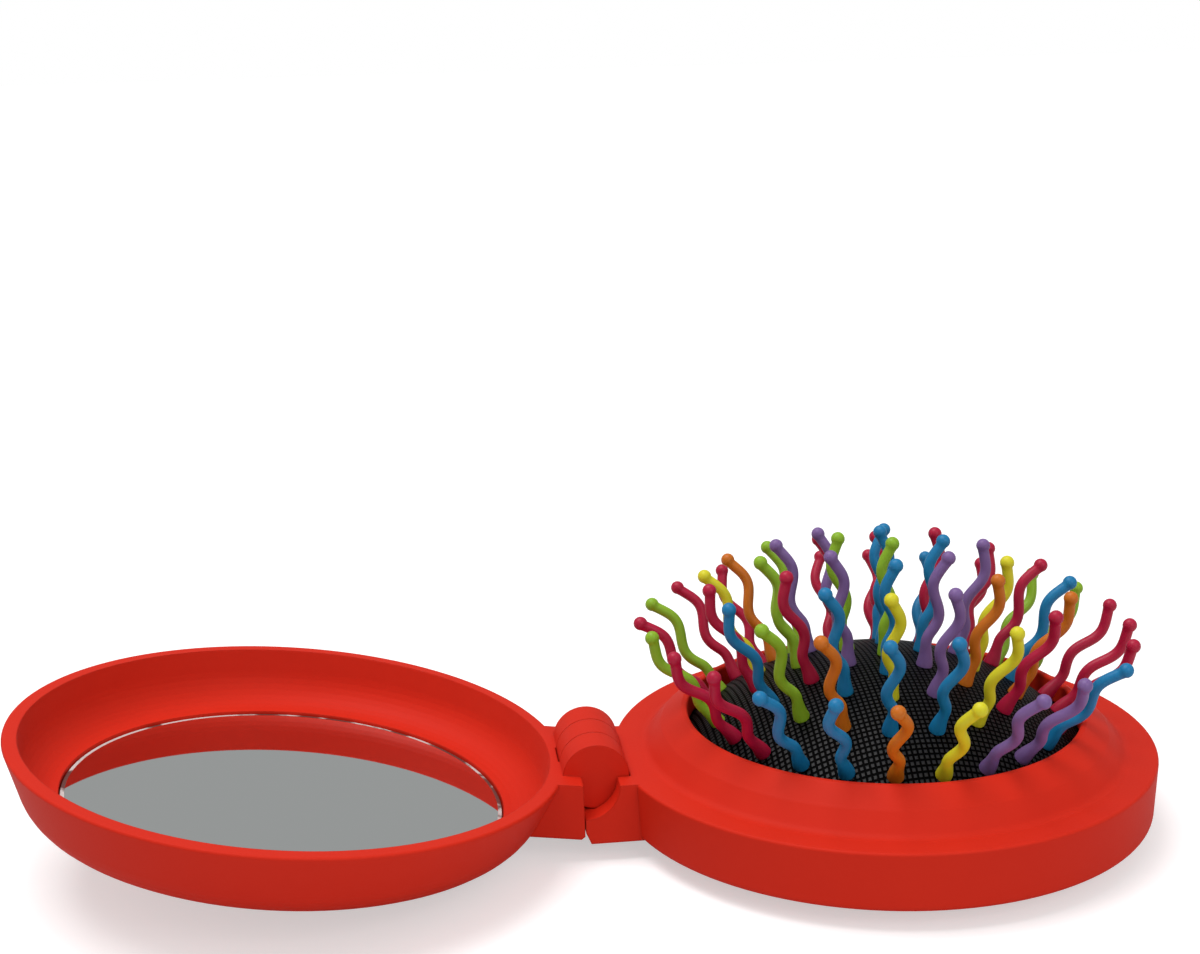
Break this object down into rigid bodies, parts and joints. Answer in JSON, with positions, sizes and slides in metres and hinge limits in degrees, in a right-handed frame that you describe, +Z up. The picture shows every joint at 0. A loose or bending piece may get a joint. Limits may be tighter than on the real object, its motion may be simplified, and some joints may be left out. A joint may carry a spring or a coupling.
{
  "type": "folding pocket hairbrush with mirror",
  "caption": "Round folding pocket hairbrush, open: red-orange plastic case, mirror in the lid, black rubber cushion with wavy ball-tipped bristles in six colours.",
  "frame": {"origin": "on the ground, midway along the part and straight below the hinge axis", "axes": "+X from the lid to the brush half, +Y along the hinge axis, +Z up through the bristles"},
  "size_m": [0.1354, 0.065, 0.0346],
  "materials": {
    "case": "satin",
    "cushion": "matt, finely textured",
    "mirror": "polished",
    "pin": "drawn",
    "lime": "satin",
    "yellow": "satin",
    "orange": "satin",
    "crimson": "satin",
    "blue": "satin",
    "purple": "satin"
  },
  "bodies": {
    "brush": {"brush_shell": "case", "back_ring": "case", "cushion": "cushion"},
    "lid": {"lid_shell": "case", "mirror": "mirror", "hinge_pin": "pin"},
    "centre": {"bristle_centre": "lime"},
    "at_1_1": {"bristle_1_1": "blue"},
    "at_1_2": {"bristle_1_2": "blue"},
    "at_1_3": {"bristle_1_3": "lime"},
    "at_1_4": {"bristle_1_4": "purple"},
    "at_1_5": {"bristle_1_5": "blue"},
    "at_1_6": {"bristle_1_6": "purple"},
    "at_2_1": {"bristle_2_1": "purple"},
    "at_2_2": {"bristle_2_2": "crimson"},
    "at_2_3": {"bristle_2_3": "blue"},
    "at_2_4": {"bristle_2_4": "purple"},
    "at_2_5": {"bristle_2_5": "purple"},
    "at_2_6": {"bristle_2_6": "lime"},
    "at_2_7": {"bristle_2_7": "crimson"},
    "at_2_8": {"bristle_2_8": "blue"},
    "at_2_9": {"bristle_2_9": "yellow"},
    "at_2_10": {"bristle_2_10": "purple"},
    "at_2_11": {"bristle_2_11": "orange"},
    "at_2_12": {"bristle_2_12": "yellow"},
    "at_3_1": {"bristle_3_1": "crimson"},
    "at_3_2": {"bristle_3_2": "crimson"},
    "at_3_3": {"bristle_3_3": "blue"},
    "at_3_4": {"bristle_3_4": "crimson"},
    "at_3_5": {"bristle_3_5": "crimson"},
    "at_3_6": {"bristle_3_6": "lime"},
    "at_3_7": {"bristle_3_7": "orange"},
    "at_3_8": {"bristle_3_8": "yellow"},
    "at_3_9": {"bristle_3_9": "crimson"},
    "at_3_10": {"bristle_3_10": "blue"},
    "at_3_11": {"bristle_3_11": "lime"},
    "at_3_12": {"bristle_3_12": "orange"},
    "at_3_13": {"bristle_3_13": "blue"},
    "at_3_14": {"bristle_3_14": "blue"},
    "at_3_15": {"bristle_3_15": "yellow"},
    "at_3_16": {"bristle_3_16": "crimson"},
    "at_3_17": {"bristle_3_17": "orange"},
    "at_3_18": {"bristle_3_18": "blue"},
    "at_4_1": {"bristle_4_1": "crimson"},
    "at_4_4": {"bristle_4_4": "crimson"},
    "at_4_5": {"bristle_4_5": "blue"},
    "at_4_8": {"bristle_4_8": "lime"},
    "at_4_11": {"bristle_4_11": "lime"},
    "at_4_12": {"bristle_4_12": "crimson"},
    "at_4_13": {"bristle_4_13": "lime"},
    "at_4_16": {"bristle_4_16": "blue"},
    "at_4_19": {"bristle_4_19": "yellow"},
    "at_4_22": {"bristle_4_22": "blue"},
    "pair_4_2_3": {"bristles_4_2_3": "lime"},
    "pair_4_6_7": {"bristles_4_6_7": "crimson"},
    "pair_4_9_10": {"bristles_4_9_10": "crimson"},
    "pair_4_14_15": {"bristles_4_14_15": "crimson"},
    "pair_4_17_18": {"bristles_4_17_18": "blue"},
    "pair_4_20_21": {"bristles_4_20_21": "purple"},
    "pair_4_23_24": {"bristles_4_23_24": "crimson"}
  },
  "joints": [
    {"name": "lid_fold", "type": "hinge", "parent": "brush", "child": "lid", "pos_m": [0, 0, 0.0094], "axis": [0, 1, 0], "range_deg": [0, 172]},
    {"name": "centre_slide", "type": "slide", "parent": "brush", "child": "centre", "axis": [0, 0, -1], "range_m": [0, 0.0291], "deforming": ["cushion"]},
    {"name": "at_1_1_swing", "type": "hinge", "parent": "brush", "child": "at_1_1", "pos_m": [0.12129, 0.02633, 0.00545], "axis": [0.2937, -0.9559, 0], "range_deg": [0, 19.02]},
    {"name": "at_1_2_swing", "type": "hinge", "parent": "brush", "child": "at_1_2", "pos_m": [0.06151, 0.09078, 0.00545], "axis": [0.9616, -0.2745, 0], "range_deg": [0, 18.02]},
    {"name": "at_1_3_swing", "type": "hinge", "parent": "brush", "child": "at_1_3", "pos_m": [-0.03666, 0.07168, 0.00545], "axis": [0.7043, 0.7099, 0], "range_deg": [0, 16.67]},
    {"name": "at_1_4_swing", "type": "hinge", "parent": "brush", "child": "at_1_4", "pos_m": [-0.06178, -0.03532, 0.00545], "axis": [-0.341, 0.9401, 0], "range_deg": [0, 16.37]},
    {"name": "at_1_5_swing", "type": "hinge", "parent": "brush", "child": "at_1_5", "pos_m": [0.02352, -0.09657, 0.00545], "axis": [-0.9923, 0.1241, 0], "range_deg": [0, 17.46]},
    {"name": "at_1_6_swing", "type": "hinge", "parent": "brush", "child": "at_1_6", "pos_m": [0.10642, -0.0569, 0.00545], "axis": [-0.6264, -0.7795, 0], "range_deg": [0, 18.76]},
    {"name": "at_2_1_swing", "type": "hinge", "parent": "brush", "child": "at_2_1", "pos_m": [0.08191, 0.01533, 0.00545], "axis": [0.3143, -0.9493, 0], "range_deg": [0, 37.14]},
    {"name": "at_2_2_swing", "type": "hinge", "parent": "brush", "child": "at_2_2", "pos_m": [0.06892, 0.03624, 0.00545], "axis": [0.7362, -0.6768, 0], "range_deg": [0, 36.75]},
    {"name": "at_2_3_swing", "type": "hinge", "parent": "brush", "child": "at_2_3", "pos_m": [0.04693, 0.04866, 0.00545], "axis": [0.9739, -0.2268, 0], "range_deg": [0, 36.11]},
    {"name": "at_2_4_swing", "type": "hinge", "parent": "brush", "child": "at_2_4", "pos_m": [0.0208, 0.04863, 0.00545], "axis": [0.9567, 0.2911, 0], "range_deg": [0, 35.38]},
    {"name": "at_2_5_swing", "type": "hinge", "parent": "brush", "child": "at_2_5", "pos_m": [-0.00246, 0.03483, 0.00545], "axis": [0.6751, 0.7377, 0], "range_deg": [0, 34.77]},
    {"name": "at_2_6_swing", "type": "hinge", "parent": "brush", "child": "at_2_6", "pos_m": [-0.01539, 0.01031, 0.00545], "axis": [0.1982, 0.9802, 0], "range_deg": [0, 34.44]},
    {"name": "at_2_7_swing", "type": "hinge", "parent": "brush", "child": "at_2_7", "pos_m": [-0.0133, -0.01754, 0.00545], "axis": [-0.3376, 0.9413, 0], "range_deg": [0, 34.49]},
    {"name": "at_2_8_swing", "type": "hinge", "parent": "brush", "child": "at_2_8", "pos_m": [0.00302, -0.03978, 0.00545], "axis": [-0.7736, 0.6337, 0], "range_deg": [0, 34.91]},
    {"name": "at_2_9_swing", "type": "hinge", "parent": "brush", "child": "at_2_9", "pos_m": [0.02781, -0.04999, 0.00545], "axis": [-0.9881, 0.154, 0], "range_deg": [0, 35.57]},
    {"name": "at_2_10_swing", "type": "hinge", "parent": "brush", "child": "at_2_10", "pos_m": [0.05344, -0.04643, 0.00545], "axis": [-0.9334, -0.3587, 0], "range_deg": [0, 36.29]},
    {"name": "at_2_11_swing", "type": "hinge", "parent": "brush", "child": "at_2_11", "pos_m": [0.0734, -0.0313, 0.00545], "axis": [-0.6377, -0.7703, 0], "range_deg": [0, 36.88]},
    {"name": "at_2_12_swing", "type": "hinge", "parent": "brush", "child": "at_2_12", "pos_m": [0.0835, -0.00897, 0.00545], "axis": [-0.184, -0.9829, 0], "range_deg": [0, 37.19]},
    {"name": "at_3_1_swing", "type": "hinge", "parent": "brush", "child": "at_3_1", "pos_m": [0.06961, 0.01053, 0.00545], "axis": [0.2958, -0.9553, 0], "range_deg": [0, 56.27]},
    {"name": "at_3_2_swing", "type": "hinge", "parent": "brush", "child": "at_3_2", "pos_m": [0.06419, 0.02138, 0.00545], "axis": [0.599, -0.8008, 0], "range_deg": [0, 56.05]},
    {"name": "at_3_3_swing", "type": "hinge", "parent": "brush", "child": "at_3_3", "pos_m": [0.0554, 0.02989, 0.00545], "axis": [0.8337, -0.5522, 0], "range_deg": [0, 55.69]},
    {"name": "at_3_4_swing", "type": "hinge", "parent": "brush", "child": "at_3_4", "pos_m": [0.04414, 0.03501, 0.00545], "axis": [0.9715, -0.237, 0], "range_deg": [0, 55.25]},
    {"name": "at_3_5_swing", "type": "hinge", "parent": "brush", "child": "at_3_5", "pos_m": [0.03165, 0.03604, 0.00545], "axis": [0.994, 0.1091, 0], "range_deg": [0, 54.76]},
    {"name": "at_3_6_swing", "type": "hinge", "parent": "brush", "child": "at_3_6", "pos_m": [0.01939, 0.03266, 0.00545], "axis": [0.8958, 0.4445, 0], "range_deg": [0, 54.3]},
    {"name": "at_3_7_swing", "type": "hinge", "parent": "brush", "child": "at_3_7", "pos_m": [0.00894, 0.02514, 0.00545], "axis": [0.6862, 0.7275, 0], "range_deg": [0, 53.9]},
    {"name": "at_3_8_swing", "type": "hinge", "parent": "brush", "child": "at_3_8", "pos_m": [0.00174, 0.01432, 0.00545], "axis": [0.3895, 0.921, 0], "range_deg": [0, 53.64]},
    {"name": "at_3_9_swing", "type": "hinge", "parent": "brush", "child": "at_3_9", "pos_m": [-0.00118, 0.00158, 0.00545], "axis": [0.0429, 0.9991, 0], "range_deg": [0, 53.53]},
    {"name": "at_3_10_swing", "type": "hinge", "parent": "brush", "child": "at_3_10", "pos_m": [0.00062, -0.01138, 0.00545], "axis": [-0.3093, 0.951, 0], "range_deg": [0, 53.6]},
    {"name": "at_3_11_swing", "type": "hinge", "parent": "brush", "child": "at_3_11", "pos_m": [0.00687, -0.0228, 0.00545], "axis": [-0.6217, 0.7833, 0], "range_deg": [0, 53.83]},
    {"name": "at_3_12_swing", "type": "hinge", "parent": "brush", "child": "at_3_12", "pos_m": [0.01666, -0.03121, 0.00545], "axis": [-0.8549, 0.5187, 0], "range_deg": [0, 54.19]},
    {"name": "at_3_13_swing", "type": "hinge", "parent": "brush", "child": "at_3_13", "pos_m": [0.02862, -0.03563, 0.00545], "axis": [-0.9814, 0.1921, 0], "range_deg": [0, 54.65]},
    {"name": "at_3_14_swing", "type": "hinge", "parent": "brush", "child": "at_3_14", "pos_m": [0.0412, -0.03565, 0.00545], "axis": [-0.9879, -0.1552, 0], "range_deg": [0, 55.13]},
    {"name": "at_3_15_swing", "type": "hinge", "parent": "brush", "child": "at_3_15", "pos_m": [0.05288, -0.03146, 0.00545], "axis": [-0.8765, -0.4814, 0], "range_deg": [0, 55.59]},
    {"name": "at_3_16_swing", "type": "hinge", "parent": "brush", "child": "at_3_16", "pos_m": [0.06236, -0.02368, 0.00545], "axis": [-0.6627, -0.7488, 0], "range_deg": [0, 55.97]},
    {"name": "at_3_17_swing", "type": "hinge", "parent": "brush", "child": "at_3_17", "pos_m": [0.06865, -0.01329, 0.00545], "axis": [-0.373, -0.9278, 0], "range_deg": [0, 56.23]},
    {"name": "at_3_18_swing", "type": "hinge", "parent": "brush", "child": "at_3_18", "pos_m": [0.07115, -0.00146, 0.00545], "axis": [-0.0409, -0.9992, 0], "range_deg": [0, 56.33]},
    {"name": "at_4_1_swing", "type": "hinge", "parent": "brush", "child": "at_4_1", "pos_m": [0.06793, 0.00211, 0.00545], "axis": [0.0653, -0.9979, 0], "range_deg": [0, 64.29]},
    {"name": "at_4_4_swing", "type": "hinge", "parent": "brush", "child": "at_4_4", "pos_m": [0.05731, 0.02423, 0.00545], "axis": [0.7447, -0.6674, 0], "range_deg": [0, 63.82]},
    {"name": "at_4_5_swing", "type": "hinge", "parent": "brush", "child": "at_4_5", "pos_m": [0.05041, 0.02907, 0.00545], "axis": [0.891, -0.454, 0], "range_deg": [0, 63.52]},
    {"name": "at_4_8_swing", "type": "hinge", "parent": "brush", "child": "at_4_8", "pos_m": [0.02545, 0.03134, 0.00545], "axis": [0.9514, 0.3081, 0], "range_deg": [0, 62.45]},
    {"name": "at_4_11_swing", "type": "hinge", "parent": "brush", "child": "at_4_11", "pos_m": [0.00591, 0.01487, 0.00545], "axis": [0.4478, 0.8941, 0], "range_deg": [0, 61.64]},
    {"name": "at_4_12_swing", "type": "hinge", "parent": "brush", "child": "at_4_12", "pos_m": [0.00301, 0.00656, 0.00545], "axis": [0.1973, 0.9803, 0], "range_deg": [0, 61.52]},
    {"name": "at_4_13_swing", "type": "hinge", "parent": "brush", "child": "at_4_13", "pos_m": [0.00243, -0.00224, 0.00545], "axis": [-0.0673, 0.9977, 0], "range_deg": [0, 61.5]},
    {"name": "at_4_16_swing", "type": "hinge", "parent": "brush", "child": "at_4_16", "pos_m": [0.0141, -0.02516, 0.00545], "axis": [-0.7602, 0.6497, 0], "range_deg": [0, 61.98]},
    {"name": "at_4_19_swing", "type": "hinge", "parent": "brush", "child": "at_4_19", "pos_m": [0.03828, -0.03267, 0.00545], "axis": [-0.9966, -0.0818, 0], "range_deg": [0, 63]},
    {"name": "at_4_22_swing", "type": "hinge", "parent": "brush", "child": "at_4_22", "pos_m": [0.06027, -0.02116, 0.00545], "axis": [-0.651, -0.7591, 0], "range_deg": [0, 63.95]},
    {"name": "pair_4_2_3_swing", "type": "hinge", "parent": "brush", "child": "pair_4_2_3", "pos_m": [0.06247, 0.01305, 0.00545], "axis": [0.4369, -0.8995, 0], "range_deg": [0, 76.67]},
    {"name": "pair_4_6_7_swing", "type": "hinge", "parent": "brush", "child": "pair_4_6_7", "pos_m": [0.03801, 0.02997, 0.00545], "axis": [0.9968, -0.0802, 0], "range_deg": [0, 75.52]},
    {"name": "pair_4_9_10_swing", "type": "hinge", "parent": "brush", "child": "pair_4_9_10", "pos_m": [0.01591, 0.02296, 0.00545], "axis": [0.7592, 0.6509, 0], "range_deg": [0, 74.5]},
    {"name": "pair_4_14_15_swing", "type": "hinge", "parent": "brush", "child": "pair_4_14_15", "pos_m": [0.00853, -0.01362, 0.00545], "axis": [-0.4495, 0.8933, 0], "range_deg": [0, 74.17]},
    {"name": "pair_4_17_18_swing", "type": "hinge", "parent": "brush", "child": "pair_4_17_18", "pos_m": [0.02636, -0.02871, 0.00545], "axis": [-0.9519, 0.3063, 0], "range_deg": [0, 74.98]},
    {"name": "pair_4_20_21_swing", "type": "hinge", "parent": "brush", "child": "pair_4_20_21", "pos_m": [0.04926, -0.02668, 0.00545], "axis": [-0.8902, -0.4556, 0], "range_deg": [0, 76.05]},
    {"name": "pair_4_23_24_swing", "type": "hinge", "parent": "brush", "child": "pair_4_23_24", "pos_m": [0.06393, -0.00943, 0.00545], "axis": [-0.3159, -0.9488, 0], "range_deg": [0, 76.75]}
  ],
  "couplings": [
    {"joint": "centre_slide", "follows": "lid_fold", "m_per_rad": 0.0096936},
    {"joint": "at_1_1_swing", "follows": "lid_fold", "ratio": 0.11058},
    {"joint": "at_1_2_swing", "follows": "lid_fold", "ratio": 0.10477},
    {"joint": "at_1_3_swing", "follows": "lid_fold", "ratio": 0.096891},
    {"joint": "at_1_4_swing", "follows": "lid_fold", "ratio": 0.095139},
    {"joint": "at_1_5_swing", "follows": "lid_fold", "ratio": 0.1015},
    {"joint": "at_1_6_swing", "follows": "lid_fold", "ratio": 0.10905},
    {"joint": "at_2_1_swing", "follows": "lid_fold", "ratio": 0.21593},
    {"joint": "at_2_2_swing", "follows": "lid_fold", "ratio": 0.21364},
    {"joint": "at_2_3_swing", "follows": "lid_fold", "ratio": 0.20991},
    {"joint": "at_2_4_swing", "follows": "lid_fold", "ratio": 0.2057},
    {"joint": "at_2_5_swing", "follows": "lid_fold", "ratio": 0.20214},
    {"joint": "at_2_6_swing", "follows": "lid_fold", "ratio": 0.20023},
    {"joint": "at_2_7_swing", "follows": "lid_fold", "ratio": 0.20053},
    {"joint": "at_2_8_swing", "follows": "lid_fold", "ratio": 0.20296},
    {"joint": "at_2_9_swing", "follows": "lid_fold", "ratio": 0.20681},
    {"joint": "at_2_10_swing", "follows": "lid_fold", "ratio": 0.211},
    {"joint": "at_2_11_swing", "follows": "lid_fold", "ratio": 0.21442},
    {"joint": "at_2_12_swing", "follows": "lid_fold", "ratio": 0.21621},
    {"joint": "at_3_1_swing", "follows": "lid_fold", "ratio": 0.32712},
    {"joint": "at_3_2_swing", "follows": "lid_fold", "ratio": 0.32583},
    {"joint": "at_3_3_swing", "follows": "lid_fold", "ratio": 0.32378},
    {"joint": "at_3_4_swing", "follows": "lid_fold", "ratio": 0.32119},
    {"joint": "at_3_5_swing", "follows": "lid_fold", "ratio": 0.31837},
    {"joint": "at_3_6_swing", "follows": "lid_fold", "ratio": 0.31566},
    {"joint": "at_3_7_swing", "follows": "lid_fold", "ratio": 0.31338},
    {"joint": "at_3_8_swing", "follows": "lid_fold", "ratio": 0.31184},
    {"joint": "at_3_9_swing", "follows": "lid_fold", "ratio": 0.31122},
    {"joint": "at_3_10_swing", "follows": "lid_fold", "ratio": 0.3116},
    {"joint": "at_3_11_swing", "follows": "lid_fold", "ratio": 0.31294},
    {"joint": "at_3_12_swing", "follows": "lid_fold", "ratio": 0.31506},
    {"joint": "at_3_13_swing", "follows": "lid_fold", "ratio": 0.31769},
    {"joint": "at_3_14_swing", "follows": "lid_fold", "ratio": 0.32052},
    {"joint": "at_3_15_swing", "follows": "lid_fold", "ratio": 0.3232},
    {"joint": "at_3_16_swing", "follows": "lid_fold", "ratio": 0.3254},
    {"joint": "at_3_17_swing", "follows": "lid_fold", "ratio": 0.32689},
    {"joint": "at_3_18_swing", "follows": "lid_fold", "ratio": 0.32748},
    {"joint": "at_4_1_swing", "follows": "lid_fold", "ratio": 0.37378},
    {"joint": "at_4_4_swing", "follows": "lid_fold", "ratio": 0.37105},
    {"joint": "at_4_5_swing", "follows": "lid_fold", "ratio": 0.3693},
    {"joint": "at_4_8_swing", "follows": "lid_fold", "ratio": 0.36309},
    {"joint": "at_4_11_swing", "follows": "lid_fold", "ratio": 0.35837},
    {"joint": "at_4_12_swing", "follows": "lid_fold", "ratio": 0.35767},
    {"joint": "at_4_13_swing", "follows": "lid_fold", "ratio": 0.35753},
    {"joint": "at_4_16_swing", "follows": "lid_fold", "ratio": 0.36033},
    {"joint": "at_4_19_swing", "follows": "lid_fold", "ratio": 0.36626},
    {"joint": "at_4_22_swing", "follows": "lid_fold", "ratio": 0.37181},
    {"joint": "pair_4_2_3_swing", "follows": "lid_fold", "ratio": 0.44577},
    {"joint": "pair_4_6_7_swing", "follows": "lid_fold", "ratio": 0.43905},
    {"joint": "pair_4_9_10_swing", "follows": "lid_fold", "ratio": 0.43313},
    {"joint": "pair_4_14_15_swing", "follows": "lid_fold", "ratio": 0.43118},
    {"joint": "pair_4_17_18_swing", "follows": "lid_fold", "ratio": 0.43591},
    {"joint": "pair_4_20_21_swing", "follows": "lid_fold", "ratio": 0.44212},
    {"joint": "pair_4_23_24_swing", "follows": "lid_fold", "ratio": 0.44618}
  ]
}
